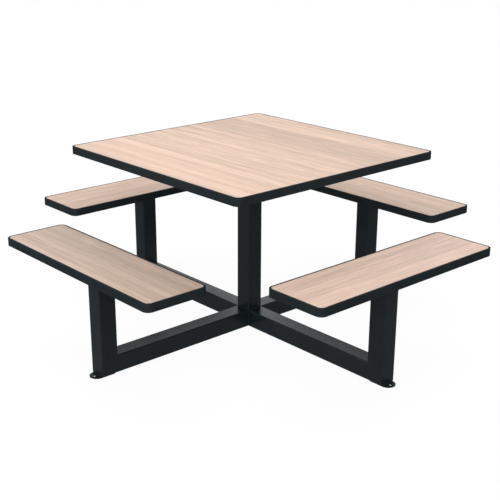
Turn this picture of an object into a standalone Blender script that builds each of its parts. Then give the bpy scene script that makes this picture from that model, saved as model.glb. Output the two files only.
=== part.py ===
"""Square canteen table with four attached benches.

A floor cross of square tube carries a central column and four short posts. Folded steel
channels on the column and on the posts carry five edged, laminate-faced boards, which are
screwed on from below. Metres, +Z up, origin on the floor under the column.
"""

from math import pi

import bmesh
import bpy
from mathutils import Matrix, Vector

# ---------------------------------------------------------------- driving dimensions
MM = 0.001
GAP = 0.3 * MM              # clearance between pieces that touch

# boards
TABLE_SIDE = 1000 * MM
TABLE_TOP_Z = 733 * MM      # height of the table's face above the floor
BENCH_LENGTH = 900 * MM
BENCH_DEPTH = 252 * MM
BENCH_TOP_Z = 441 * MM      # height of the seats' face above the floor
BENCH_OFFSET = 708 * MM     # column axis to the middle of a bench, and of its post
BOARD_T = 30 * MM
BOARD_CORNER_R = 25 * MM    # corner radius in plan
CORNER_SEG = 8
LAMINATE_T = 1 * MM
EDGE_W = 7.5 * MM           # edging, seen on the face
EDGE_ROUND = 0.5 * MM
TONGUE_H = 4 * MM           # tongue of the edging, keyed into a groove of the board
TONGUE_D = 7 * MM

# square tube of the frame
TUBE = 70 * MM
TUBE_WALL = 3 * MM
TUBE_R = 5 * MM
FOOT_T = 4 * MM             # foot lug under each post
FOOT_W = 58 * MM
FOOT_INNER = 685 * MM       # inner end of the lug, from the column axis
FOOT_TIP = 773 * MM         # outer end, a half circle in plan
FOOT_HOLE_AT = 757 * MM     # anchor hole, from the column axis
FOOT_HOLE_D = 11 * MM

# folded channels under the boards
CHANNEL_IN = TUBE + 2 * GAP
BENCH_CHANNEL = dict(sheet=3 * MM, length=600 * MM, deep=28 * MM, deep_end=12 * MM, deep_run=180 * MM)
TABLE_CHANNEL = dict(sheet=4 * MM, length=720 * MM, deep=40 * MM, deep_end=15 * MM, deep_run=180 * MM)
FOLD_IN = 1 * MM            # inner radius of a fold
SEAT_GAP = 1.2 * MM         # a tube stops short of the web, clear of the folds

# screws
BENCH_SCREWS = (-250 * MM, -130 * MM, 130 * MM, 250 * MM)
TABLE_SCREWS = (180 * MM, 320 * MM)
SCREW_D = 5.6 * MM
SCREW_IN = 20 * MM          # depth of the screw's tip in the board
SCREW_HEAD_D = 13 * MM
SCREW_HEAD_H = 4 * MM
SCREW_SOCKET_D = 5.8 * MM
SCREW_HOLE_D = 7 * MM       # clearance hole in the channel

# derived levels
RAIL_Z0 = FOOT_T + GAP
RAIL_Z1 = RAIL_Z0 + TUBE
BENCH_Z0 = BENCH_TOP_Z - BOARD_T
TABLE_Z0 = TABLE_TOP_Z - BOARD_T
OUTER = BENCH_OFFSET + TUBE / 2          # outer face of the posts

for old in list(bpy.data.objects):
    bpy.data.objects.remove(old, do_unlink=True)


def collection(name, hidden=False):
    made = bpy.data.collections.new(name)
    bpy.context.scene.collection.children.link(made)
    made.hide_render = hidden
    return made


PARTS = collection("table_with_attached_benches")
CUTTERS = collection("cutters", hidden=True)


def material(name, colour, roughness, metallic=0.0):
    made = bpy.data.materials.new(name)
    made.use_nodes = True
    shader = made.node_tree.nodes["Principled BSDF"]
    shader.inputs["Base Color"].default_value = (*colour, 1.0)
    shader.inputs["Roughness"].default_value = roughness
    shader.inputs["Metallic"].default_value = metallic
    return made


PAINT = material("frame_paint", (0.018, 0.021, 0.023), 0.32)
OAK = material("oak_laminate", (0.72, 0.56, 0.45), 0.45)
BLACK = material("black_edging", (0.022, 0.025, 0.027), 0.5)
BOARD = material("board_core", (0.32, 0.24, 0.16), 0.8)
ZINC = material("zinc_screw", (0.55, 0.56, 0.58), 0.35, 1.0)


# ---------------------------------------------------------------- helpers
def new_object(name, bm, where=PARTS):
    mesh = bpy.data.meshes.new(name)
    bmesh.ops.recalc_face_normals(bm, faces=bm.faces)
    bm.to_mesh(mesh)
    bm.free()
    made = bpy.data.objects.new(name, mesh)
    where.objects.link(made)
    return made


def cutter(obj):
    for home in list(obj.users_collection):
        home.objects.unlink(obj)
    CUTTERS.objects.link(obj)
    obj.hide_render = True
    obj.display_type = "WIRE"
    return obj


def boolean(obj, other, operation="DIFFERENCE"):
    mod = obj.modifiers.new(operation.lower(), "BOOLEAN")
    mod.operation = operation
    mod.solver = "EXACT"
    mod.object = other


def evaluated(obj):
    """The object's mesh with its modifiers applied."""
    bpy.context.view_layer.update()
    graph = bpy.context.evaluated_depsgraph_get()
    return bpy.data.meshes.new_from_object(obj.evaluated_get(graph))


def placed(mesh, name, mat, angle=0.0, location=(0, 0, 0)):
    """One node: an object that stands at an angle about the column axis."""
    made = bpy.data.objects.new(name, mesh)
    PARTS.objects.link(made)
    spin = Matrix.Rotation(angle, 4, "Z")
    made.matrix_world = spin @ Matrix.Translation(Vector(location))
    if not mesh.materials:
        mesh.materials.append(mat)
        mesh.shade_smooth()
        mesh.set_sharp_from_angle(angle=0.6)
    return made


def box(low, high):
    bm = bmesh.new()
    bmesh.ops.create_cube(bm, size=1.0)
    low, high = Vector(low), Vector(high)
    bmesh.ops.scale(bm, vec=high - low, verts=bm.verts)
    bmesh.ops.translate(bm, vec=(low + high) / 2, verts=bm.verts)
    return bm


def along(bm, axis):
    """Edges that run along one axis."""
    return [e for e in bm.edges
            if abs((e.verts[1].co - e.verts[0].co).normalized()[axis]) > 0.999]


def round_edges(bm, edges, radius, segments):
    bmesh.ops.bevel(bm, geom=edges, offset=radius, segments=segments, profile=0.5,
                    affect="EDGES", clamp_overlap=True)
    return bm


def slab(length, depth, z0, z1, corner_r, corner_seg, rim_r=0.0, rim_seg=0):
    """A board centred on Z, with round corners in plan and, if asked, round rims."""
    bm = box((-length / 2, -depth / 2, z0), (length / 2, depth / 2, z1))
    round_edges(bm, along(bm, 2), corner_r, corner_seg)
    if rim_r:
        rims = [e for e in bm.edges if abs(e.verts[0].co.z - e.verts[1].co.z) < 1e-7]
        round_edges(bm, rims, rim_r, rim_seg)
    return bm


def cylinder(bm, x, y, z0, z1, diameter, sides):
    made = bmesh.ops.create_cone(bm, cap_ends=True, segments=sides, radius1=diameter / 2,
                                 radius2=diameter / 2, depth=z1 - z0)
    bmesh.ops.translate(bm, vec=(x, y, (z0 + z1) / 2), verts=made["verts"])


def tube(name, axis, start, end, centre):
    """Square hollow section between start and end along an axis; centre is its middle line."""
    def bar(half, s, e, radius, seg):
        low, high = [c - half for c in centre], [c + half for c in centre]
        low[axis], high[axis] = s, e
        bm = box(low, high)
        return round_edges(bm, along(bm, axis), radius, seg)

    outer = new_object(name, bar(TUBE / 2, start, end, TUBE_R, 5))
    bore = cutter(new_object(name + "_bore", bar(TUBE / 2 - TUBE_WALL, start - 0.02, end + 0.02,
                                                TUBE_R - TUBE_WALL, 3)))
    boolean(outer, bore)
    return outer


def mitre(obj, keep_rail, direction):
    """45 degree cut where a rail meets the post that stands on its end."""
    across = Vector((direction[0], direction[1], 1)).normalized()
    foot = Vector((direction[0] * OUTER, direction[1] * OUTER, RAIL_Z0))
    size = 0.3
    shift = size / 2 - GAP / 2
    bm = bmesh.new()
    bmesh.ops.create_cube(bm, size=size)
    turn = Vector((0, 0, 1)).rotation_difference(across).to_matrix().to_4x4()
    bmesh.ops.transform(bm, matrix=turn, verts=bm.verts)
    bmesh.ops.translate(bm, vec=foot + across * (shift if keep_rail else -shift), verts=bm.verts)
    boolean(obj, cutter(new_object(obj.name + "_mitre", bm)))


def channel(name, spec, run_from, run_to, z_top, taper_from=True, taper_to=True):
    """Folded channel along X, web up, flanges that taper towards its free ends."""
    bm = bmesh.new()
    bmesh.ops.create_grid(bm, x_segments=3, y_segments=3, size=1.0)
    half = CHANNEL_IN / 2 + spec["sheet"]
    deep, shallow = spec["deep"], spec["deep_end"]
    ends = (run_from,
            run_from + spec["deep_run"] if taper_from else run_from + (run_to - run_from) * 0.15,
            run_to - spec["deep_run"] if taper_to else run_to - (run_to - run_from) * 0.15,
            run_to)
    depth = (shallow if taper_from else deep, deep, deep, shallow if taper_to else deep)
    for vert in bm.verts:
        i, j = round((vert.co.x + 1) * 1.5), round((vert.co.y + 1) * 1.5)
        vert.co = (ends[i], -half if j < 2 else half, -depth[i] if j in (0, 3) else 0.0)
    bm.normal_update()
    folds = [e for e in bm.edges
             if all(abs(v.co.z) < 1e-7 for v in e.verts)
             and abs(e.verts[0].co.y - e.verts[1].co.y) < 1e-7]
    round_edges(bm, folds, spec["sheet"] + FOLD_IN, 3)
    bmesh.ops.translate(bm, vec=(0, 0, z_top), verts=bm.verts)
    mesh = bpy.data.meshes.new(name)
    bmesh.ops.recalc_face_normals(bm, faces=bm.faces)
    up = sum((f.normal.z for f in bm.faces), 0.0)
    if up < 0:
        bmesh.ops.reverse_faces(bm, faces=bm.faces)
    bm.to_mesh(mesh)
    bm.free()
    made = bpy.data.objects.new(name, mesh)
    PARTS.objects.link(made)
    sheet = made.modifiers.new("sheet", "SOLIDIFY")
    sheet.thickness = spec["sheet"]
    sheet.offset = -1.0
    sheet.use_even_offset = True
    return made


def drill(obj, points, z0, z1, diameter, sides):
    bm = bmesh.new()
    for x, y in points:
        cylinder(bm, x, y, z0, z1, diameter, sides)
    boolean(obj, cutter(new_object(obj.name + "_holes", bm)))


# ---------------------------------------------------------------- boards
def board(name, length, depth, top_z, screw_points):
    """Core with a groove, laminate face and edging with a tongue; each a mesh at the column axis."""
    z0 = top_z - BOARD_T
    mid = z0 + BOARD_T / 2
    inner_l, inner_d, inner_r = length - 2 * EDGE_W, depth - 2 * EDGE_W, BOARD_CORNER_R - EDGE_W

    def ring(label, out, inset, clear):
        """Thin ring at mid-thickness: the tongue, or its groove with clearance."""
        outer = new_object(label, slab(inner_l + 2 * out, inner_d + 2 * out, mid - TONGUE_H / 2 - clear,
                                       mid + TONGUE_H / 2 + clear, inner_r + out, CORNER_SEG))
        hole = cutter(new_object(label + "_hole", slab(inner_l - 2 * inset, inner_d - 2 * inset, mid - 0.02,
                                                      mid + 0.02, inner_r - inset, CORNER_SEG)))
        boolean(outer, hole)
        return cutter(outer)

    # edging: outer slab, hollowed by a block that is itself grooved where the tongue stays
    edge = new_object(name + "_edge_blank", slab(length, depth, z0, top_z, BOARD_CORNER_R, CORNER_SEG, EDGE_ROUND, 3))
    block = cutter(new_object(name + "_edge_block", slab(inner_l, inner_d, z0 - 0.02, top_z + 0.02, inner_r, CORNER_SEG)))
    boolean(block, ring(name + "_tongue", 0.004, TONGUE_D, 0.0))
    boolean(edge, block)

    core = new_object(name + "_core_blank", slab(inner_l - 2 * GAP, inner_d - 2 * GAP, z0,
                                                 top_z - LAMINATE_T - GAP, inner_r - GAP, CORNER_SEG))
    boolean(core, ring(name + "_groove", 0.004, TONGUE_D + GAP, GAP))
    drill(core, screw_points, z0 - 0.01, z0 + SCREW_IN + 2 * GAP, SCREW_D + 4 * GAP, 12)

    face = new_object(name + "_face_blank", slab(inner_l - 2 * GAP, inner_d - 2 * GAP, top_z - LAMINATE_T,
                                                 top_z, inner_r - GAP, CORNER_SEG))
    meshes = [evaluated(o) for o in (core, face, edge)]
    for o in (core, face, edge):
        bpy.data.objects.remove(o, do_unlink=True)
    return meshes


def screw_mesh(web_under_z, board_z0):
    """Pan-head screw, driven upwards; its head bears on the underside of a channel's web."""
    seat = web_under_z - GAP
    tip = board_z0 + SCREW_IN
    r = SCREW_D / 2
    head = SCREW_HEAD_D / 2
    outline = [(0, tip), (0.4 * r, tip - 0.6 * MM), (r, tip - 4 * MM), (r, seat), (head, seat),
               (head, seat - 0.35 * SCREW_HEAD_H), (0.72 * head, seat - 0.88 * SCREW_HEAD_H),
               (0, seat - SCREW_HEAD_H)]
    bm = bmesh.new()
    verts = [bm.verts.new((x, 0, z)) for x, z in outline]
    for a, b in zip(verts, verts[1:]):
        bm.edges.new((a, b))
    mesh = bpy.data.meshes.new("screw_profile")
    bm.to_mesh(mesh)
    bm.free()
    body = bpy.data.objects.new("screw_blank", mesh)
    PARTS.objects.link(body)
    turn = body.modifiers.new("turn", "SCREW")
    turn.steps = turn.render_steps = 12
    turn.use_merge_vertices = True
    turn.merge_threshold = 0.00001
    socket = bmesh.new()
    cylinder(socket, 0, 0, seat - SCREW_HEAD_H - 1 * MM, seat - 0.45 * SCREW_HEAD_H, SCREW_SOCKET_D, 6)
    boolean(body, cutter(new_object("screw_socket", socket)))
    made = evaluated(body)
    bpy.data.objects.remove(body, do_unlink=True)
    return made


SIDES = (("east", 0.0), ("north", pi / 2), ("west", pi), ("south", -pi / 2))

# table top
table_points = [(s * d, 0) for d in TABLE_SCREWS for s in (-1, 1)]
table_points += [(0, s * d) for d in TABLE_SCREWS for s in (-1, 1)]
core, face, edge = board("table", TABLE_SIDE, TABLE_SIDE, TABLE_TOP_Z, table_points)
placed(core, "table_core", BOARD)
placed(face, "table_laminate", OAK)
placed(edge, "table_edge", BLACK)

# benches: modelled along X at the column axis, then turned so that their length lies along the table edge
bench_points = [(d, 0) for d in BENCH_SCREWS]
core, face, edge = board("bench", BENCH_LENGTH, BENCH_DEPTH, BENCH_TOP_Z, bench_points)
screw = screw_mesh(BENCH_Z0 - GAP - BENCH_CHANNEL["sheet"], BENCH_Z0)
saddle = channel("saddle_blank", BENCH_CHANNEL, -BENCH_CHANNEL["length"] / 2, BENCH_CHANNEL["length"] / 2,
                 BENCH_Z0 - GAP)
drill(saddle, bench_points, BENCH_Z0 - 0.02, BENCH_Z0 + 0.01, SCREW_HOLE_D, 12)
saddle_mesh = evaluated(saddle)
bpy.data.objects.remove(saddle, do_unlink=True)
for side, angle in SIDES:
    out = (0, -BENCH_OFFSET, 0)
    turn = angle + pi / 2
    placed(core, f"bench_{side}_core", BOARD, turn, out)
    placed(face, f"bench_{side}_laminate", OAK, turn, out)
    placed(edge, f"bench_{side}_edge", BLACK, turn, out)
    placed(saddle_mesh, f"bench_saddle_{side}", PAINT, turn, out)
    for n, d in enumerate(BENCH_SCREWS, 1):
        placed(screw, f"bench_{side}_screw_{n}", ZINC, turn, (d, -BENCH_OFFSET, 0))

# ---------------------------------------------------------------- channels that carry the table top
top = TABLE_Z0 - GAP
half = TABLE_CHANNEL["length"] / 2
side_face = CHANNEL_IN / 2 + TABLE_CHANNEL["sheet"]
long_one = channel("bearer_long_blank", TABLE_CHANNEL, -half, half, top)
drill(long_one, [(s * d, 0) for d in TABLE_SCREWS for s in (-1, 1)], top - 0.02, top + 0.01, SCREW_HOLE_D, 12)
placed(evaluated(long_one), "table_bearer_long", PAINT)
short_one = channel("bearer_short_blank", TABLE_CHANNEL, side_face + GAP, half, top, taper_from=False)
drill(short_one, [(d, 0) for d in TABLE_SCREWS], top - 0.02, top + 0.01, SCREW_HOLE_D, 12)
short_mesh = evaluated(short_one)
placed(short_mesh, "table_bearer_short_north", PAINT, pi / 2)
placed(short_mesh, "table_bearer_short_south", PAINT, -pi / 2)
for o in (long_one, short_one):
    bpy.data.objects.remove(o, do_unlink=True)
screw = screw_mesh(top - TABLE_CHANNEL["sheet"], TABLE_Z0)
for side, angle in SIDES:
    for n, d in enumerate(TABLE_SCREWS, 1):
        placed(screw, f"table_screw_{side}_{n}", ZINC, angle, (d, 0, 0))

# ---------------------------------------------------------------- tube frame
mid_z = (RAIL_Z0 + RAIL_Z1) / 2
through = tube("rail_through_blank", 0, -OUTER, OUTER, (0, 0, mid_z))
mitre(through, True, (1, 0))
mitre(through, True, (-1, 0))
placed(evaluated(through), "rail_through", PAINT)

half_rail = tube("rail_half_blank", 0, TUBE / 2 + GAP, OUTER, (0, 0, mid_z))
mitre(half_rail, True, (1, 0))
half_mesh = evaluated(half_rail)
placed(half_mesh, "rail_half_north", PAINT, pi / 2)
placed(half_mesh, "rail_half_south", PAINT, -pi / 2)

post_top = BENCH_Z0 - GAP - BENCH_CHANNEL["sheet"] - SEAT_GAP
post = tube("post_blank", 2, RAIL_Z0, post_top, (BENCH_OFFSET, 0, 0))
mitre(post, False, (1, 0))
post_mesh = evaluated(post)

column_top = TABLE_Z0 - GAP - TABLE_CHANNEL["sheet"] - SEAT_GAP
column = tube("column_blank", 2, RAIL_Z1 + GAP, column_top, (0, 0, 0))
placed(evaluated(column), "column", PAINT)

# foot lug: flat bar with a round outer end and an anchor hole
bm = box((FOOT_INNER, -FOOT_W / 2, 0), (FOOT_TIP, FOOT_W / 2, FOOT_T))
round_edges(bm, [e for e in along(bm, 2) if e.verts[0].co.x > FOOT_HOLE_AT], FOOT_W / 2 - 0.05 * MM, 10)
foot = new_object("foot_blank", bm)
drill(foot, [(FOOT_HOLE_AT, 0)], -0.01, FOOT_T + 0.01, FOOT_HOLE_D, 20)
foot_mesh = evaluated(foot)

for side, angle in SIDES:
    placed(post_mesh, f"post_{side}", PAINT, angle)
    placed(foot_mesh, f"foot_{side}", PAINT, angle)
for o in (through, half_rail, post, column, foot):
    bpy.data.objects.remove(o, do_unlink=True)
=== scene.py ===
"""Looks of the square table with four attached benches.

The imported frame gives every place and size. Tubes, edgings, lugs, folded channels and screws are shown by
finer meshes of the same size, weld beads are added where the steel is joined, and every surface has a
procedural finish.
"""

import math
import random

import bmesh
import bpy
from mathutils import Matrix, Vector


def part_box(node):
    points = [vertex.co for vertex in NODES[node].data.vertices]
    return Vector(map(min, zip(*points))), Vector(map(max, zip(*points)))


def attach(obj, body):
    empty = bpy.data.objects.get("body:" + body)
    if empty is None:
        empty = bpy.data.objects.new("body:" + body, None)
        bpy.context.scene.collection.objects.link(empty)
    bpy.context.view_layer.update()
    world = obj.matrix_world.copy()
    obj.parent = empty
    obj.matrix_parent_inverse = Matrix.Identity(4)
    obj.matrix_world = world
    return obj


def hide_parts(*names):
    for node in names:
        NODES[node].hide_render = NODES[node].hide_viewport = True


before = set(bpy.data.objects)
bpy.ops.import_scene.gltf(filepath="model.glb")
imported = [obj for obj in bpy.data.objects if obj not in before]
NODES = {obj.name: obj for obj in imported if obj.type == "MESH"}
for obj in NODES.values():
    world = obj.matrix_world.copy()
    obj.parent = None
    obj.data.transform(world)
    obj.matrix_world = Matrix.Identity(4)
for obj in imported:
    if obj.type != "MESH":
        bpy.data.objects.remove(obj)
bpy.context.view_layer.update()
SIDES = (("east", 0.0), ("north", math.pi / 2), ("west", math.pi), ("south", -math.pi / 2))
MM = 0.001
GAP = 0.3 * MM

# sizes that the boxes of the nodes don't tell
CORNER_R = 25 * MM          # boards, in plan
EDGE_W = 7.5 * MM
EDGE_ROUND = 0.5 * MM
TONGUE_H, TONGUE_D = 4 * MM, 7 * MM
TUBE, TUBE_WALL, TUBE_R = 70 * MM, 3 * MM, 5 * MM
OFFSET = 708 * MM           # column axis to the middle of a post
OUTER = OFFSET + TUBE / 2
HOLE_AT = 757 * MM          # column axis to the anchor hole of a foot
RAIL_Z0, RAIL_Z1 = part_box("rail_through")[0].z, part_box("rail_through")[1].z


# ------------------------------------------------------------------------------------------ shader helpers
class Shader:
    """A material's node tree, built left to right."""

    def __init__(self, name):
        self.mat = bpy.data.materials.new(name)
        self.mat.use_nodes = True
        self.tree = self.mat.node_tree
        self.bsdf = self.tree.nodes["Principled BSDF"]
        self.coords = self.add("ShaderNodeTexCoord").outputs["Object"]

    def add(self, kind, **props):
        node = self.tree.nodes.new(kind)
        for key, value in props.items():
            setattr(node, key, value)
        return node

    def put(self, socket, value):
        if isinstance(value, bpy.types.NodeSocket):
            self.tree.links.new(value, socket)
        else:
            socket.default_value = value

    def math(self, op, a, b=0.0, c=None, clamp=False):
        node = self.add("ShaderNodeMath", operation=op, use_clamp=clamp)
        self.put(node.inputs[0], a)
        self.put(node.inputs[1], b)
        if c is not None:
            self.put(node.inputs[2], c)
        return node.outputs[0]

    def xyz(self, vector):
        node = self.add("ShaderNodeSeparateXYZ")
        self.put(node.inputs[0], vector)
        return node.outputs

    def vec(self, x, y, z):
        node = self.add("ShaderNodeCombineXYZ")
        for socket, value in zip(node.inputs, (x, y, z)):
            self.put(socket, value)
        return node.outputs[0]

    def noise(self, vector, scale=1.0, detail=2.0, rough=0.5, distortion=0.0):
        node = self.add("ShaderNodeTexNoise", noise_dimensions="3D")
        self.put(node.inputs["Vector"], vector)
        node.inputs["Scale"].default_value = scale
        node.inputs["Detail"].default_value = detail
        node.inputs["Roughness"].default_value = rough
        node.inputs["Distortion"].default_value = distortion
        return node.outputs["Fac"]

    def ramp(self, fac, stops, mode="LINEAR"):
        node = self.add("ShaderNodeValToRGB")
        node.color_ramp.interpolation = mode
        points = node.color_ramp.elements
        while len(points) < len(stops):
            points.new(0.5)
        for point, (at, colour) in zip(points, stops):
            point.position = at
            point.color = (*colour, 1.0) if len(colour) == 3 else colour
        self.put(node.inputs[0], fac)
        return node.outputs[0]

    def fit(self, value, a, b, c=0.0, d=1.0, kind="SMOOTHSTEP"):
        """value from the range a..b to the range c..d, held at its ends."""
        node = self.add("ShaderNodeMapRange", interpolation_type=kind, clamp=True)
        for socket, v in zip(node.inputs, (value, a, b, c, d)):
            self.put(socket, v)
        return node.outputs[0]

    def mix(self, fac, a, b, blend="MIX"):
        node = self.add("ShaderNodeMix", data_type="RGBA", blend_type=blend)
        self.put(node.inputs[0], fac)
        for socket, value in ((node.inputs[6], a), (node.inputs[7], b)):
            self.put(socket, (*value, 1.0) if isinstance(value, tuple) and len(value) == 3 else value)
        return node.outputs[2]

    def bump(self, height, distance, strength=1.0, normal=None):
        node = self.add("ShaderNodeBump")
        node.inputs["Strength"].default_value = strength
        node.inputs["Distance"].default_value = distance
        self.put(node.inputs["Height"], height)
        if normal is not None:
            self.put(node.inputs["Normal"], normal)
        return node.outputs[0]

    def attribute(self, name):
        return self.add("ShaderNodeAttribute", attribute_name=name).outputs["Fac"]

    def set(self, **values):
        names = dict(colour="Base Color", roughness="Roughness", metallic="Metallic", ior="IOR", normal="Normal",
                     specular="Specular IOR Level", coat="Coat Weight", coat_roughness="Coat Roughness")
        for key, value in values.items():
            if isinstance(value, tuple) and len(value) == 3:
                value = (*value, 1.0)
            self.put(self.bsdf.inputs[names[key]], value)
        return self.mat


# ------------------------------------------------------------------------------------------ finishes
def oak(name, along_y, seeds, shade, contrast, calm, figure):
    """Pale oak decor on a satin laminate. The grain runs along Y, or else along X; shade is the sheet's own tone
    together with painted light, making each board lighter or darker by how the light falls on it.
    seeds pick the wander of the grain, its bands, its streaks and its lines; contrast is the strength of its long and
    of its short streaks. calm, if there is one, tells where across the grain a calmer plank starts and stops, and the
    share of the contrast that is left there. figure lists the planks and streaks that stand out on this sheet: where
    each starts and stops across the grain, how much lighter or darker it is, its slope along the grain, and how much
    stronger it gets towards the positive end."""
    long, short = contrast
    s = Shader(name)
    x, y, _ = s.xyz(s.coords)
    u, v = (y, x) if along_y else (x, y)
    # the grain wanders a few millimetres across its own line
    drift = s.noise(s.vec(s.math("MULTIPLY", u, 0.9), s.math("MULTIPLY", v, 2.4), seeds[0]), 1.0, 2.0, 0.5)
    drift = s.math("SUBTRACT", drift, 0.5)
    straight = s.math("ADD", v, s.math("MULTIPLY", drift, 0.020))
    v = s.math("ADD", v, s.math("MULTIPLY", drift, 0.045))

    def grain(per_m_along, per_m_across, seed, detail, rough):
        return s.noise(s.vec(s.math("MULTIPLY", u, per_m_along), s.math("MULTIPLY", v, per_m_across), seed),
                       1.0, detail, rough)

    # rgb scales every colour of the decor by shade, the sheet's tone with painted light in it
    def rgb(r, g, b):
        return (r * shade[0], g * shade[1], b * shade[2])

    bands = grain(0.30, 6.5, seeds[1], 2.0, 0.5)   # broad tone of the planks that the decor was taken from
    streaks = grain(0.8, 30.0, seeds[2], 3.0, 0.62)    # growth rings, cut along
    flecks = grain(3.6, 58.0, seeds[2] + 31.7, 2.0, 0.6)   # shorter ones between them
    fine = grain(2.6, 170.0, seeds[2] + 9.1, 2.0, 0.55)
    lines = grain(0.7, 52.0, seeds[3], 1.0, 0.4)   # a few thin rings, a dark line with a light one beside it
    ticks = grain(8.0, 105.0, seeds[3] + 5.9, 2.0, 0.55)   # rows of pores, and the lighter wood between them
    pores = grain(22.0, 720.0, seeds[3] + 17.3, 1.0, 0.5)  # open pores, short dashes

    tone = s.ramp(bands, [(0.24, rgb(0.560, 0.418, 0.328)), (0.43, rgb(0.640, 0.466, 0.362)),
                          (0.59, rgb(0.702, 0.504, 0.388)), (0.80, rgb(0.745, 0.532, 0.408))])
    if calm:
        start, stop, share = calm
        inside = s.math("MULTIPLY", s.fit(straight, start - 0.03, start + 0.03),
                        s.fit(straight, stop - 0.03, stop + 0.03, 1.0, 0.0))
        lively = s.math("MULTIPLY_ADD", inside, share - 1.0, 1.0)

    def tint(amount, colour):
        return s.mix(s.math("MULTIPLY", amount, lively) if calm else amount, tone, rgb(*colour))

    dark, light = (0.500, 0.368, 0.284), (0.850, 0.615, 0.476)
    tone = tint(s.fit(streaks, 0.34, 0.53, long, 0.0), dark)
    tone = tint(s.fit(streaks, 0.53, 0.72, 0.0, long), light)
    tone = tint(s.fit(flecks, 0.34, 0.51, short, 0.0), dark)
    tone = tint(s.fit(flecks, 0.51, 0.68, 0.0, short), light)
    tone = tint(s.fit(ticks, 0.32, 0.51, 0.40, 0.0), dark)
    tone = tint(s.fit(ticks, 0.51, 0.70, 0.0, 0.40), light)
    tone = s.mix(s.fit(fine, 0.35, 0.65, 0.32, 0.0), tone, rgb(0.470, 0.338, 0.252))
    ring = s.math("MULTIPLY", s.fit(lines, 0.580, 0.610), s.fit(lines, 0.620, 0.660, 1.0, 0.0))
    tone = tint(s.math("MULTIPLY", ring, 0.42), (0.400, 0.292, 0.222))
    glint = s.math("MULTIPLY", s.fit(lines, 0.540, 0.566), s.fit(lines, 0.570, 0.592, 1.0, 0.0))
    tone = tint(s.math("MULTIPLY", glint, 0.32), (0.900, 0.672, 0.535))
    level = 1.0
    for start, stop, strength, slope, lean in figure:
        across = s.math("SUBTRACT", straight, s.math("MULTIPLY", u, slope))
        soft = min(0.010, 0.4 * (stop - start))
        inside = s.math("MULTIPLY", s.fit(across, start - soft, start + soft),
                        s.fit(across, stop - soft, stop + soft, 1.0, 0.0))
        amount = s.math("MULTIPLY_ADD", u, strength * lean / 0.45, strength)
        level = s.math("MULTIPLY_ADD", inside, amount, level)
    tone = s.mix(1.0, tone, s.vec(level, level, level), "MULTIPLY")
    dash = s.fit(pores, 0.60, 0.70)
    tone = s.mix(s.math("MULTIPLY", dash, 0.30), tone, rgb(0.330, 0.240, 0.178))

    gloss = s.fit(fine, 0.3, 0.7, 0.40, 0.50, "LINEAR")
    gloss = s.math("ADD", gloss, s.math("MULTIPLY", dash, 0.12))
    cloud = s.noise(s.coords, 9.0, 3.0, 0.6)       # hands and cloths leave an uneven sheen
    gloss = s.math("ADD", gloss, s.fit(cloud, 0.35, 0.65, -0.02, 0.03, "LINEAR"))
    relief = s.bump(dash, 0.00004, 1.0)
    relief.node.invert = True                      # pores go in
    relief = s.bump(s.noise(s.coords, 900.0, 2.0, 0.5), 0.00001, 0.6, relief)
    return s.set(colour=tone, roughness=gloss, normal=relief, ior=1.5, specular=0.35)


def edging(name):
    """Matt black edging with a fine moulded texture, a little polished where it is touched most."""
    s = Shader(name)
    blotch = s.noise(s.coords, 14.0, 3.0, 0.6)
    grain = s.noise(s.coords, 1400.0, 2.0, 0.6)
    wear = s.math("MULTIPLY", s.attribute("wear"), s.fit(s.noise(s.coords, 60.0, 4.0, 0.65), 0.42, 0.68))
    tone = s.mix(s.fit(blotch, 0.3, 0.7), (0.0228, 0.0288, 0.0322), (0.0272, 0.0338, 0.0376))
    tone = s.mix(s.math("MULTIPLY", wear, 0.35), tone, (0.046, 0.053, 0.057))
    rough = s.fit(blotch, 0.3, 0.7, 0.74, 0.82, "LINEAR")
    rough = s.math("SUBTRACT", rough, s.math("MULTIPLY", wear, 0.12))
    return s.set(colour=tone, roughness=rough, normal=s.bump(grain, 0.00003, 0.8), ior=1.5, specular=0.01)


def paint(name):
    """Satin powder coat, near black: orange peel, and a thinner, glossier film along the tube's edges."""
    s = Shader(name)
    peel = s.noise(s.coords, 330.0, 2.0, 0.5)
    broad = s.noise(s.coords, 6.0, 3.0, 0.55)
    speck = s.noise(s.coords, 2600.0, 1.0, 0.5)
    wear = s.math("MULTIPLY", s.attribute("wear"), s.fit(s.noise(s.coords, 45.0, 4.0, 0.65), 0.45, 0.70))
    tone = s.mix(s.fit(broad, 0.3, 0.7), (0.0104, 0.0163, 0.0196), (0.0132, 0.0199, 0.0236))
    tone = s.mix(s.fit(speck, 0.62, 0.74, 0.0, 0.5), tone, (0.0190, 0.0270, 0.0310))
    tone = s.mix(s.math("MULTIPLY", wear, 0.30), tone, (0.030, 0.037, 0.041))
    rough = s.fit(broad, 0.3, 0.7, 0.22, 0.28, "LINEAR")
    rough = s.math("SUBTRACT", rough, s.math("MULTIPLY", wear, 0.06))
    return s.set(colour=tone, roughness=rough, normal=s.bump(peel, 0.00002, 0.7), ior=1.5, specular=0.44)


def backing(name):
    """Board seen from below: a matt grey backing sheet with a faint fibre."""
    s = Shader(name)
    x, y, _ = s.xyz(s.coords)
    fibre = s.noise(s.vec(s.math("MULTIPLY", x, 40.0), s.math("MULTIPLY", y, 600.0), 3.0), 1.0, 3.0, 0.6)
    mottle = s.noise(s.coords, 25.0, 4.0, 0.6)
    tone = s.mix(s.fit(mottle, 0.3, 0.7), (0.150, 0.143, 0.133), (0.190, 0.181, 0.168))
    tone = s.mix(s.fit(fibre, 0.55, 0.75, 0.0, 0.5), tone, (0.110, 0.104, 0.096))
    rough = s.fit(mottle, 0.3, 0.7, 0.62, 0.74, "LINEAR")
    return s.set(colour=tone, roughness=rough, normal=s.bump(fibre, 0.00003, 0.6), ior=1.5, specular=0.3)


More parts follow.
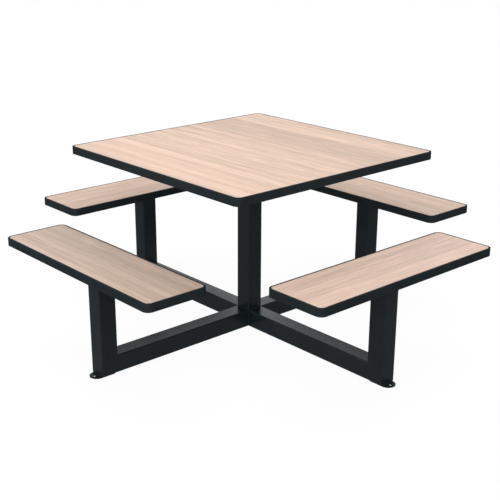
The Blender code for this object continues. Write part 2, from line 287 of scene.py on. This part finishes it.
def zinc(name):
    """Bright zinc plating with a slightly uneven passivation."""
    s = Shader(name)
    cloud = s.noise(s.coords, 240.0, 3.0, 0.6)
    scratch = s.noise(s.coords, 3000.0, 2.0, 0.6)
    tone = s.mix(s.fit(cloud, 0.3, 0.7), (0.50, 0.51, 0.52), (0.62, 0.61, 0.57))
    rough = s.fit(cloud, 0.3, 0.7, 0.26, 0.42, "LINEAR")
    return s.set(colour=tone, roughness=rough, metallic=1.0, normal=s.bump(scratch, 0.00001, 0.6))


EDGING = edging("black_edging_matt")
PAINT = paint("frame_powder_coat")
BACKING = backing("board_backing")
ZINC = zinc("zinc_plating")


def finish_node(node, mat):
    slots = NODES[node].data.materials
    slots.clear()
    slots.append(mat)


# ------------------------------------------------------------------------------------------ mesh helpers
def make(name, bm, mat, node=None, sharp=35.0, bevel=0.0, wear=None):
    """One piece from a bmesh: smooth shaded with sharp corners, riding on the frame."""
    bmesh.ops.recalc_face_normals(bm, faces=bm.faces)
    mesh = bpy.data.meshes.new(name)
    bm.to_mesh(mesh)
    if wear is not None:
        values = mesh.attributes.new("wear", "FLOAT", "POINT")
        values.data.foreach_set("value", wear)
    bm.free()
    obj = bpy.data.objects.new(name, mesh)
    bpy.context.scene.collection.objects.link(obj)
    mesh.materials.append(mat)
    mesh.shade_smooth()
    mesh.set_sharp_from_angle(angle=math.radians(sharp))
    if bevel:
        mod = obj.modifiers.new("eased_edges", "BEVEL")
        mod.width = bevel
        mod.segments = 2
        mod.limit_method = "ANGLE"
        mod.angle_limit = math.radians(50)
        mod.harden_normals = False
    mod = obj.modifiers.new("flat_faces", "WEIGHTED_NORMAL")
    mod.keep_sharp = True
    mod.weight = 60
    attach(obj, "root")
    if node:
        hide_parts(node)
    return obj


def turned(bm, angle, shift=(0, 0, 0)):
    bmesh.ops.transform(bm, matrix=Matrix.Rotation(angle, 4, "Z") @ Matrix.Translation(Vector(shift)), verts=bm.verts)
    return bm


def skin(bm, loops, around=True, closed=False):
    """Quads between neighbouring loops of points; around joins each loop's ends, closed the last loop to the first."""
    rows = [[bm.verts.new(p) for p in loop] for loop in loops]
    pairs = list(zip(rows, rows[1:] + rows[:1] if closed else rows[1:]))
    for a, b in pairs:
        n = len(a)
        for i in range(n if around else n - 1):
            j = (i + 1) % n
            bm.faces.new((a[i], a[j], b[j], b[i]))
    return rows


def round_rect(hx, hy, r, seg):
    """Outline of a rectangle with round corners, as (x, y, turn), where turn is 1 in the middle of a corner."""
    out = []
    for k, (sx, sy) in enumerate(((1, 1), (-1, 1), (-1, -1), (1, -1))):
        for i in range(seg + 1):
            a = math.pi / 2 * (k + i / seg)
            out.append((sx * (hx - r) + r * math.cos(a), sy * (hy - r) + r * math.sin(a),
                        math.sin(math.pi * i / seg)))
    return out


# ------------------------------------------------------------------------------------------ boards
def edge_profile(t):
    """Section of the edging as (inset, height above the underside, wear), once round."""
    out = []
    seg = 5
    for i in range(seg + 1):                     # lower outer rim
        a = math.pi / 2 * i / seg
        out.append((EDGE_ROUND * (1 - math.sin(a)), EDGE_ROUND * (1 - math.cos(a)), 0.5 * math.sin(2 * a)))
    for i in range(seg + 1):                     # upper outer rim
        a = math.pi / 2 * i / seg
        out.append((EDGE_ROUND * (1 - math.cos(a)), t - EDGE_ROUND * (1 - math.sin(a)), math.sin(2 * a)))
    mid = t / 2
    out += [(EDGE_W - 0.1 * MM, t, 0.0), (EDGE_W, t - 0.1 * MM, 0.0), (EDGE_W, mid + TONGUE_H / 2, 0.0),
            (EDGE_W + TONGUE_D, mid + TONGUE_H / 2, 0.0), (EDGE_W + TONGUE_D, mid - TONGUE_H / 2, 0.0),
            (EDGE_W, mid - TONGUE_H / 2, 0.0), (EDGE_W, 0.25 * MM, 0.0), (EDGE_W - 0.25 * MM, 0.0, 0.0)]
    # the lower rim runs from the underside out to the side, so the list starts on the underside
    return out


def board(name, along_y, seeds, shade, contrast, calm, figure):
    low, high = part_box(name + "_edge")
    centre, half = (low + high) / 2, (high - low) / 2
    loops, wear = [], []
    for inset, z, worn in edge_profile(high.z - low.z):
        outline = round_rect(half.x - inset, half.y - inset, CORNER_R - inset, 14)
        loops.append([(centre.x + x, centre.y + y, low.z + z) for x, y, _ in outline])
        wear += [min(1.0, worn * (0.6 + 0.4 * turn)) for _, _, turn in outline]
    bm = bmesh.new()
    skin(bm, loops, closed=True)
    make(name + "_edging", bm, EDGING, name + "_edge", wear=wear)
    finish_node(name + "_laminate", oak(name + "_oak_decor", along_y, seeds, shade, contrast, calm, figure))
    finish_node(name + "_core", BACKING)


# each board is cut from another part of the sheet, so its figure is its own; its shade is partly its own tone and
# partly painted light: the south bench is painted darker and the east bench lighter, by how the light falls on them
board("table", False, (199.2, 459.3, 757.0, 42.5), (1.026, 0.998, 0.995), (0.52, 0.40), (-0.55, -0.28, 0.45), [
    (0.424, 0.438, 0.040, 0.0, 0.0), (0.345, 0.400, 0.070, 0.0, 0.4), (0.185, 0.335, -0.125, 0.0, 0.0),
    (0.270, 0.288, -0.025, 0.0, 0.0), (0.130, 0.185, -0.095, 0.0, -0.4), (0.098, 0.116, 0.035, 0.0, 0.0),
    (0.060, 0.096, -0.120, 0.015, 0.0), (0.041, 0.056, 0.045, 0.050, -1.0), (0.024, 0.036, -0.045, 0.060, -0.9),
    (0.006, 0.022, 0.035, 0.0, 1.4), (-0.030, -0.008, 0.045, 0.0, -0.4), (-0.064, -0.046, -0.040, -0.010, 0.4),
    (-0.112, -0.088, 0.050, 0.0, 0.0), (-0.170, -0.155, -0.045, 0.075, 0.0), (-0.233, -0.213, -0.065, 0.088, 0.0),
    (-0.300, -0.260, 0.110, 0.0, 0.0), (-0.326, -0.308, -0.040, 0.020, 0.0), (-0.400, -0.372, 0.055, 0.0, 0.0),
    (-0.475, -0.430, 0.070, 0.0, 0.5)])
board("bench_east", True, (169.8, 636.0, 457.7, 582.3), (1.196, 1.179, 1.216), (0.42, 0.34), (0.75, 0.90, 0.55), [
    (0.736, 0.750, -0.065, 0.0, 0.2), (0.713, 0.727, -0.055, 0.0, 0.9), (0.655, 0.705, 0.035, 0.0, -1.0),
    (0.662, 0.674, -0.060, 0.0, -0.6), (0.628, 0.646, -0.045, 0.0, 0.6), (0.580, 0.622, 0.080, 0.0, -0.6)])
board("bench_north", False, (279.3, 179.1, 508.0, 814.2), (1.055, 1.024, 1.021), (0.60, 0.30), None, [
    (0.728, 0.755, 0.055, 0.0, 0.0), (0.668, 0.708, -0.045, 0.03, 0.0), (0.630, 0.648, 0.035, 0.0, -0.6)])
board("bench_west", True, (76.2, 717.5, 844.5, 12.3), (1.000, 0.958, 0.962), (0.60, 0.30), None, [
    (-0.685, -0.660, -0.050, 0.0, 0.0), (-0.735, -0.700, 0.030, 0.0, 0.3), (-0.792, -0.776, -0.035, 0.0, 0.0)])
board("bench_south", False, (740.7, 574.5, 247.3, 45.8), (0.845, 0.853, 0.866), (0.60, 0.14), (-0.745, -0.67, 0.60), [
    (-0.722, -0.635, -0.050, 0.0, 0.0), (-0.752, -0.733, 0.075, 0.012, 0.0), (-0.772, -0.755, -0.050, 0.016, 0.0),
    (-0.798, -0.785, -0.030, 0.0, 0.0), (-0.840, -0.802, 0.100, 0.0, 0.0)])


# ------------------------------------------------------------------------------------------ square tube
def tube(bm, axis, centre, start, end):
    """Hollow square section. start and end give the end's place on the axis for a point (a, b) of the section."""
    half = TUBE / 2
    outer = round_rect(half, half, TUBE_R, 8)
    inner = round_rect(half - TUBE_WALL, half - TUBE_WALL, TUBE_R - TUBE_WALL, 8)

    def place(a, b, along):
        return (along, centre[0] + a, centre[1] + b) if axis == 0 else (centre[0] + a, centre[1] + b, along)

    def loop(outline, stop):
        return [place(a, b, stop(centre[0] + a, centre[1] + b)) for a, b, _ in outline]

    skin(bm, [loop(outer, start), loop(outer, end), loop(inner, end), loop(inner, start)], closed=True)
    turns = [t for _, _, t in outer]
    return turns + turns + [0.0] * (2 * len(turns))


MITRE = GAP / math.sqrt(2)     # half the joint's width, measured along a tube
mid = (RAIL_Z0 + RAIL_Z1) / 2


def rail_end(y, z):
    return OUTER - (z - RAIL_Z0) - MITRE


bm = bmesh.new()
w = tube(bm, 0, (0, mid), lambda y, z: -rail_end(y, z), rail_end)
make("rail_through_tube", bm, PAINT, "rail_through", wear=w)
for side, angle in (SIDES[1], SIDES[3]):
    bm = bmesh.new()
    w = tube(bm, 0, (0, mid), lambda y, z: TUBE / 2 + GAP, rail_end)
    make(f"rail_half_{side}_tube", turned(bm, angle), PAINT, f"rail_half_{side}", wear=w)
low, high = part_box("column")
bm = bmesh.new()
w = tube(bm, 2, (0, 0), lambda x, y: low.z, lambda x, y: high.z)
make("column_tube", bm, PAINT, "column", wear=w)
post_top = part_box("post_east")[1].z
for side, angle in SIDES:
    bm = bmesh.new()
    w = tube(bm, 2, (OFFSET, 0), lambda x, y: RAIL_Z0 + (OUTER - x) + MITRE, lambda x, y: post_top)
    make(f"post_{side}_tube", turned(bm, angle), PAINT, f"post_{side}", wear=w)


# ------------------------------------------------------------------------------------------ foot lugs
def lug(bm):
    low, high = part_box("foot_east")
    t, half = high.z, high.y
    tip, back = high.x - half, low.x            # centre of the round outer end, and the square inner end
    hole_at, hole_r = HOLE_AT, 5.5 * MM
    outline = []
    for i in range(33):
        a = -math.pi / 2 + math.pi * i / 32
        outline.append((tip + half * math.cos(a), half * math.sin(a), math.cos(a), math.sin(a)))
    for i in range(1, 9):
        outline.append((tip + (back - tip) * i / 8, half, 0.0 if i < 8 else -0.7071, 1.0 if i < 8 else 0.7071))
    for i in range(1, 8):
        outline.append((back, half - 2 * half * i / 8, -1.0, 0.0))
    for i in range(8):
        outline.append((back + (tip - back) * i / 8, -half, -0.7071 if i == 0 else 0.0, -0.7071 if i == 0 else -1.0))
    n = len(outline)

    def edge(inset, z):
        return [(x - nx * inset * (1.414 if abs(nx * ny) > 0.4 and x == back else 1.0),
                 y - ny * inset * (1.414 if abs(nx * ny) > 0.4 and x == back else 1.0), z) for x, y, nx, ny in outline]

    def hole(r, z):
        ring = []
        for i in range(n):
            if i <= 32:
                a = -math.pi / 2 + math.pi * i / 32
            else:
                a = math.pi / 2 + math.pi * (i - 32) / (n - 32)
            ring.append((hole_at + r * math.cos(a), r * math.sin(a), z))
        return ring

    e = 0.5 * MM
    loops = [hole(hole_r, 0.0003), hole(hole_r, t - 0.4 * MM), hole(hole_r + 0.12 * MM, t - 0.12 * MM),
             hole(hole_r + 0.4 * MM, t), edge(e, t), edge(0.15 * MM, t - 0.15 * MM), edge(0.0, t - e),
             edge(0.0, e), edge(0.15 * MM, 0.15 * MM), edge(e, 0.0), hole(hole_r + 0.3 * MM, 0.0)]
    skin(bm, loops, closed=True)
    worn = [0.0, 0.3, 1.0, 1.0, 0.6, 1.0, 0.6, 0.3, 0.3, 0.0, 0.0]
    return [v for v in worn for _ in range(n)]


for side, angle in SIDES:
    bm = bmesh.new()
    w = lug(bm)
    make(f"foot_{side}_lug", turned(bm, angle), PAINT, f"foot_{side}", wear=w)


# ------------------------------------------------------------------------------------------ folded channels
def channel(bm, stations, half, sheet, top, fold_in=1 * MM):
    """Folded channel along X, web up. stations are (x, depth of the flanges)."""
    seg = 6

    def path(inset, depth):
        r = sheet + fold_in - inset
        h = half - inset
        out = [(-h, -depth)]
        for i in range(seg + 1):
            a = math.pi / 2 * i / seg
            out.append((-h + r - r * math.cos(a), -inset - r + r * math.sin(a)))
        for i in range(seg + 1):
            a = math.pi / 2 * i / seg
            out.append((h - r + r * math.sin(a), -inset - r + r * math.cos(a)))
        out.append((h, -depth))
        return out

    loops = []
    for x, depth in stations:
        outside, inside = path(0.0, depth), path(sheet, depth)
        loops.append([(x, y, top + z) for y, z in outside] + [(x, y, top + z) for y, z in reversed(inside)])
    rows = skin(bm, loops)
    for row in (rows[0], rows[-1]):
        n = len(row)
        for i in range(n // 2 - 1):
            bm.faces.new((row[i], row[i + 1], row[n - 2 - i], row[n - 1 - i]))


def tapered(low, high, deep, shallow, run, taper_low=True, taper_high=True):
    out = [(low, shallow), (low + run, deep)] if taper_low else [(low, deep)]
    return out + ([(high - run, deep), (high, shallow)] if taper_high else [(high, deep)])


low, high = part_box("bench_saddle_east")
for side, angle in SIDES:
    bm = bmesh.new()
    channel(bm, tapered(low.y, high.y, high.z - low.z, 12 * MM, 180 * MM), (high.x - low.x) / 2, 3 * MM, high.z)
    make(f"bench_saddle_{side}_channel", turned(bm, angle + math.pi / 2, (0, -OFFSET, 0)), PAINT,
         f"bench_saddle_{side}", bevel=0.4 * MM)
low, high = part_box("table_bearer_long")
deep = high.z - low.z
bm = bmesh.new()
channel(bm, tapered(low.x, high.x, deep, 15 * MM, 180 * MM), (high.y - low.y) / 2, 4 * MM, high.z)
make("table_bearer_long_channel", bm, PAINT, "table_bearer_long", bevel=0.4 * MM)
low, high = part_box("table_bearer_short_north")
for side, angle in (SIDES[1], SIDES[3]):
    bm = bmesh.new()
    channel(bm, tapered(low.y, high.y, deep, 15 * MM, 180 * MM, taper_low=False), (high.x - low.x) / 2, 4 * MM, high.z)
    make(f"table_bearer_short_{side}_channel", turned(bm, angle), PAINT, f"table_bearer_short_{side}",
         bevel=0.4 * MM)


# ------------------------------------------------------------------------------------------ screws
def screw(bm, centre, tip, seat, under):
    """Pan-head screw with a hexagon socket, standing on its axis; the head points down."""
    n = 24
    r, head = 2.8 * MM, 6.5 * MM
    tall = seat - under

    def ring(radius, z):
        return [(centre.x + radius * math.cos(2 * math.pi * i / n), centre.y + radius * math.sin(2 * math.pi * i / n), z)
                for i in range(n)]

    def hexagon(across, z):
        out = []
        for i in range(n):
            a = 2 * math.pi * i / n
            b = (a + math.pi / 6) % (math.pi / 3) - math.pi / 6
            out.append((centre.x + across / 2 / math.cos(b) * math.cos(a), centre.y + across / 2 / math.cos(b) * math.sin(a), z))
        return out

    loops = [ring(0.3 * MM, tip), ring(0.5 * r, tip - 1.2 * MM), ring(r, tip - 4 * MM), ring(r, seat)]
    loops += [ring(head - 0.3 * MM, seat), ring(head, seat - 0.3 * MM), ring(head, seat - 0.30 * tall)]
    for i in range(1, 6):                        # domed face
        a = math.pi / 2 * i / 6
        loops.append(ring(head - (head - 3.4 * MM) * (1 - math.cos(a)), seat - (0.30 + 0.70 * math.sin(a)) * tall))
    loops += [ring(3.4 * MM, under), hexagon(5.3 * MM, under), hexagon(5.0 * MM, under + 0.2 * MM),
              hexagon(5.0 * MM, under + 0.52 * tall)]
    rows = skin(bm, loops)
    bm.faces.new(rows[0])
    floor = bm.verts.new((centre.x, centre.y, under + 0.62 * tall))
    last = rows[-1]
    for i in range(n):
        bm.faces.new((last[i], last[(i + 1) % n], floor))


for node in sorted(n for n in NODES if "_screw_" in n):
    low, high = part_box(node)
    kind = "table_bearer_long" if node.startswith("table") else "bench_saddle_east"
    sheet = 4 * MM if node.startswith("table") else 3 * MM
    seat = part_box(kind)[1].z - sheet - GAP
    bm = bmesh.new()
    screw(bm, (low + high) / 2, high.z, seat, low.z)
    make(node + "_pan_head", bm, ZINC, node, sharp=40.0)


# ------------------------------------------------------------------------------------------ welds
rng = random.Random(7)


def bead(bm, start, end, a, b, leg=3 * MM, bulge=0.22, step=0.9 * MM):
    """Fillet weld from start to end, in the corner whose two faces run along a and b; it ripples and tapers off.
    bulge is how far its face stands out, or goes in if it is less than 0, as a share of its depth."""
    start, end, a, b = Vector(start), Vector(end), Vector(a), Vector(b)
    length = (end - start).length
    n = max(10, int(length / step))
    along = (end - start) / n
    phase, pitch = rng.uniform(0, 6), rng.uniform(2.6, 3.1) * MM
    loops = []
    for i in range(n + 1):
        s = length * i / n
        close = min(1.0, math.sqrt(max(0.0, min(s, length - s)) / (2.2 * leg)) + 0.12)
        size = leg * close * (1 + 0.07 * math.sin(2 * math.pi * s / pitch + phase) + rng.uniform(-0.02, 0.02))
        centre = start + along * i
        root = centre - (a + b) * 0.12 * leg
        loop = [root, centre + a * size - b * 0.12 * leg]
        for k in range(1, 6):
            t = k / 6
            loop.append(centre + (a * (1 - t) + b * t) * size * (1.0 + bulge * math.sin(math.pi * t)))
        loop.append(centre + b * size - a * 0.12 * leg)
        loops.append(loop)
    rows = skin(bm, loops)
    bm.faces.new(rows[0])
    bm.faces.new(list(reversed(rows[-1])))


def seam(bm, start, end, normal, width=3.2 * MM, proud=0.22 * MM, step=1.2 * MM):
    """Butt weld ground nearly flush: a low domed strip with faint grinding waves."""
    start, end, normal = Vector(start), Vector(end), Vector(normal)
    length = (end - start).length
    n = max(10, int(length / step))
    along = (end - start) / n
    across = along.normalized().cross(normal)
    phase = rng.uniform(0, 6)
    loops = []
    for i in range(n + 1):
        s = length * i / n
        close = min(1.0, math.sqrt(max(0.0, min(s, length - s)) / width) + 0.1)
        tall = proud * close * (1 + 0.25 * math.sin(2 * math.pi * s / (5.3 * MM) + phase))
        wide = width / 2 * (0.75 + 0.25 * close)
        centre = start + along * i
        loop = [centre - across * wide - normal * 0.1 * MM]
        for k in range(1, 8):
            t = k / 8
            loop.append(centre + across * wide * (2 * t - 1) + normal * tall * math.sin(math.pi * t))
        loop.append(centre + across * wide - normal * 0.1 * MM)
        loops.append(loop)
    rows = skin(bm, loops)
    bm.faces.new(rows[0])
    bm.faces.new(list(reversed(rows[-1])))


H = TUBE / 2
Z, X, Y = Vector((0, 0, 1)), Vector((1, 0, 0)), Vector((0, 1, 0))

bm = bmesh.new()
for k in range(4):                               # column on the crossing
    part = bmesh.new()
    bead(part, (H, -30 * MM, RAIL_Z1), (H, 30 * MM, RAIL_Z1), X, Z, 1.8 * MM, -0.25)
    turned(part, k * math.pi / 2)
    mesh = bpy.data.meshes.new("bead")
    part.to_mesh(mesh)
    part.free()
    bm.from_mesh(mesh)
    bpy.data.meshes.remove(mesh)
make("weld_column_base", bm, PAINT, sharp=60.0)

bm = bmesh.new()
for sx in (-1, 1):                               # half rails on the sides of the through rail
    for sy in (-1, 1):
        bead(bm, (sx * H, sy * H, RAIL_Z0 + 6 * MM), (sx * H, sy * H, RAIL_Z1 - 6 * MM), X * sx, Y * sy, 0.8 * MM, -0.25)
make("weld_floor_cross", bm, PAINT, sharp=60.0)

saddle_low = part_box("bench_saddle_east")[0].z
foot_low, foot_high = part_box("foot_east")
for side, angle in SIDES:
    bm = bmesh.new()
    for s in (-1, 1):
        # flat sides of the mitre, ground; flange of the saddle on the post; lug on the rail's underside
        seam(bm, (OFFSET - H + 4 * MM, s * H, RAIL_Z1 - 4 * MM), (OFFSET + H - 4 * MM, s * H, RAIL_Z0 + 4 * MM), Y * s)
        bead(bm, (OFFSET + s * H, -28 * MM, saddle_low), (OFFSET + s * H, 28 * MM, saddle_low), X * s, -Z, 2.6 * MM)
        bead(bm, (foot_low.x + 4 * MM, s * foot_high.y, RAIL_Z0), (OUTER - 6 * MM, s * foot_high.y, RAIL_Z0), Y * s, -Z, 2.4 * MM)
    bead(bm, (OFFSET - H, -30 * MM, RAIL_Z1), (OFFSET - H, 30 * MM, RAIL_Z1), -X, Z, 2.8 * MM)
    bead(bm, (OUTER, -24 * MM, foot_high.z), (OUTER, 24 * MM, foot_high.z), X, Z, 1.6 * MM, -0.25)
    make(f"weld_post_{side}", turned(bm, angle), PAINT, sharp=60.0)

bearer_low, bearer_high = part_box("table_bearer_long")
bm = bmesh.new()
for s in (-1, 1):                                # long bearer on the column, short bearers on the long one
    bead(bm, (-28 * MM, s * H, bearer_low.z), (28 * MM, s * H, bearer_low.z), Y * s, -Z, 3 * MM)
    face = bearer_high.y
    for t in (-1, 1):
        bead(bm, (t * face, s * face, bearer_low.z + 1 * MM), (t * face, s * face, bearer_high.z - 7 * MM), X * t, Y * s, 2.6 * MM)
make("weld_table_bearers", bm, PAINT, sharp=60.0)


# ------------------------------------------------------------------------------------------ stage
def stage_shader(tree, seen, elsewhere):
    """What the camera sees directly, and what lights the object and shows in its reflections."""
    out = tree.nodes.get("Material Output") or tree.nodes.get("World Output")
    path = tree.nodes.new("ShaderNodeLightPath")
    mix = tree.nodes.new("ShaderNodeMixShader")
    tree.links.new(path.outputs["Is Camera Ray"], mix.inputs[0])
    tree.links.new(elsewhere, mix.inputs[1])
    tree.links.new(seen, mix.inputs[2])
    tree.links.new(mix.outputs[0], out.inputs["Surface"])


FLOOR_SEEN, FLOOR_SHADE, FLOOR_BOUNCE = 0.955, 0.06, 0.185
bm = bmesh.new()
bmesh.ops.create_grid(bm, x_segments=8, y_segments=8, size=60.0)
bmesh.ops.translate(bm, vec=(0, 0, -0.2 * MM), verts=bm.verts)
mesh = bpy.data.meshes.new("studio_floor")
bm.to_mesh(mesh)
bm.free()
floor = bpy.data.objects.new("studio_floor", mesh)
bpy.context.scene.collection.objects.link(floor)
mat = bpy.data.materials.new("studio_floor")
mat.use_nodes = True
tree = mat.node_tree
tree.nodes.remove(tree.nodes["Principled BSDF"])
glow = tree.nodes.new("ShaderNodeEmission")
glow.inputs["Color"].default_value = (1, 1, 1, 1)
glow.inputs["Strength"].default_value = FLOOR_SEEN
shade = tree.nodes.new("ShaderNodeBsdfDiffuse")
shade.inputs["Color"].default_value = (FLOOR_SHADE,) * 3 + (1,)
both = tree.nodes.new("ShaderNodeAddShader")
tree.links.new(glow.outputs[0], both.inputs[0])
tree.links.new(shade.outputs[0], both.inputs[1])
bounce = tree.nodes.new("ShaderNodeEmission")
bounce.name = "bounce"
bounce.inputs["Color"].default_value = (1, 1, 1, 1)
bounce.inputs["Strength"].default_value = FLOOR_BOUNCE
stage_shader(tree, both.outputs[0], bounce.outputs[0])
mesh.materials.append(mat)

# soft light from all round: an even part, and lobes given as azimuth, elevation, the cosine where a lobe starts,
# the cosine where it is full, and its level
SKY_EVEN = 0.01
SKY = {"back": (138, 15, 0.30, 0.95, 0.36), "back_high": (130, 50, 0.45, 0.95, 0.88), "front": (-42, 15, 0.30, 0.95, 2.10)}
world = bpy.data.worlds.new("studio")
bpy.context.scene.world = world
world.use_nodes = True
tree = world.node_tree
white = tree.nodes["Background"]
white.inputs["Color"].default_value = (1, 1, 1, 1)
white.inputs["Strength"].default_value = 1.0
sky = tree.nodes.new("ShaderNodeBackground")
sky.inputs["Color"].default_value = (0.780, 0.805, 0.815, 1)
where = tree.nodes.new("ShaderNodeTexCoord")
total = tree.nodes.new("ShaderNodeMath")
total.name, total.operation = "even", "ADD"
total.inputs[0].default_value = SKY_EVEN
total.inputs[1].default_value = 0.0
for name, (azimuth, elevation, starts, full, level) in SKY.items():
    a, e = math.radians(azimuth), math.radians(elevation)
    dot = tree.nodes.new("ShaderNodeVectorMath")
    dot.operation = "DOT_PRODUCT"
    tree.links.new(where.outputs["Generated"], dot.inputs[0])
    dot.inputs[1].default_value = (math.cos(a) * math.cos(e), math.sin(a) * math.cos(e), math.sin(e))
    lobe = tree.nodes.new("ShaderNodeMapRange")
    lobe.name = name
    lobe.interpolation_type = "SMOOTHSTEP"
    tree.links.new(dot.outputs["Value"], lobe.inputs[0])
    for socket, v in zip(lobe.inputs[1:5], (starts, full, 0.0, level)):
        socket.default_value = v
    plus = tree.nodes.new("ShaderNodeMath")
    plus.operation = "ADD"
    tree.links.new(total.outputs[0], plus.inputs[0])
    tree.links.new(lobe.outputs[0], plus.inputs[1])
    total = plus
tree.links.new(total.outputs[0], sky.inputs["Strength"])
stage_shader(tree, white.outputs[0], sky.outputs[0])


def softbox(name, place, aim, size, power, colour=(1, 1, 1)):
    light = bpy.data.lights.new(name, "AREA")
    light.shape = "RECTANGLE"
    light.size, light.size_y = size
    light.energy = power
    light.color = colour
    obj = bpy.data.objects.new(name, light)
    bpy.context.scene.collection.objects.link(obj)
    obj.location = place
    obj.rotation_euler = (Vector(aim) - Vector(place)).to_track_quat("-Z", "Y").to_euler()
    return obj


softbox("softbox_above", (-0.20, -0.20, 2.9), (-0.05, 0, 0.6), (2.6, 2.6), 41.5)
softbox("softbox_left", (-1.2, -4.0, 0.75), (0, -0.2, 0.35), (3.0, 1.0), 35.0)

# ------------------------------------------------------------------------------------------ camera
cam = bpy.data.objects.new("camera", bpy.data.cameras.new("camera"))
bpy.context.scene.collection.objects.link(cam)
cam.data.sensor_fit = "HORIZONTAL"
cam.data.sensor_width = 36.0
cam.data.lens = 69.8806
cam.data.shift_x = 0.0243
cam.data.shift_y = 0.011373
cam.location = (2.743448, -2.464218, 1.597883)
cam.rotation_euler = (math.radians(90 - 19.51001), 0.0, math.radians(48.79354))
cam.data.clip_end = 200.0
bpy.context.scene.camera = cam

view = bpy.context.scene.view_settings
view.view_transform = "Standard"
view.look = "None"
view.exposure = 0.0
view.gamma = 1.0

bpy.context.view_layer.update()
